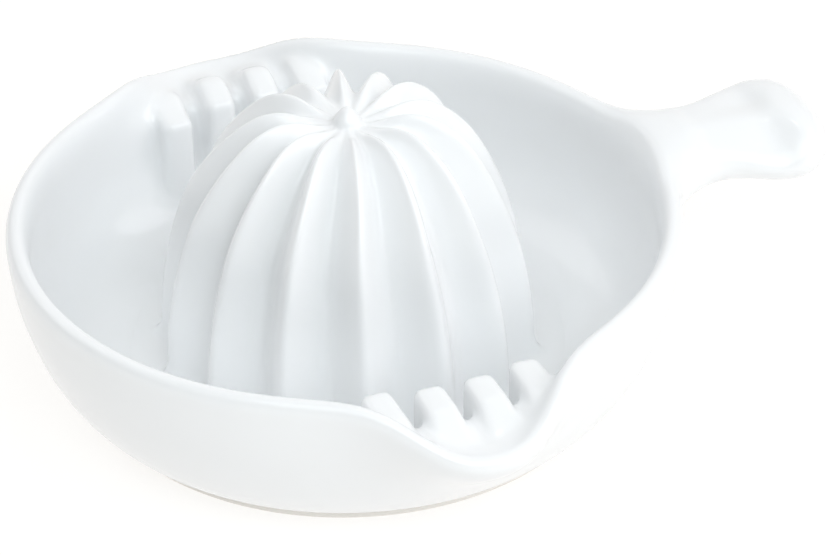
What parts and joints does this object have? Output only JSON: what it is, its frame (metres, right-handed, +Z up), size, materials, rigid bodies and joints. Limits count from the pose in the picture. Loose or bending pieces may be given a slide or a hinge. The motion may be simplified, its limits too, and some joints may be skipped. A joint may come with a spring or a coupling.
{
  "type": "citrus juicer",
  "caption": "White glazed porcelain citrus juicer: fluted reamer dome in a shallow round bowl with two pouring lips, strainer teeth and a short side handle",
  "frame": {"origin": "on the table plane, on the upright axis of the reamer and the bowl", "axes": "+Z up; +X points along the handle, away from the bowl; the two pouring lips point along -Y and +Y"},
  "size_m": [0.169, 0.1541, 0.0602],
  "materials": {
    "white_glaze": "glossy clear-glazed white porcelain, slightly cool, with the softest of ripples in the glaze",
    "bare_porcelain": "unglazed matt porcelain of the ground foot ring, slightly warm, fine grained"
  },
  "bodies": {
    "root": {"bowl": "white_glaze", "foot_ring": "bare_porcelain", "reamer": "white_glaze", "reamer_tip": "white_glaze", "rear_strainer_teeth": "white_glaze", "front_strainer_teeth": "white_glaze", "handle": "white_glaze"}
  },
  "joints": []
}
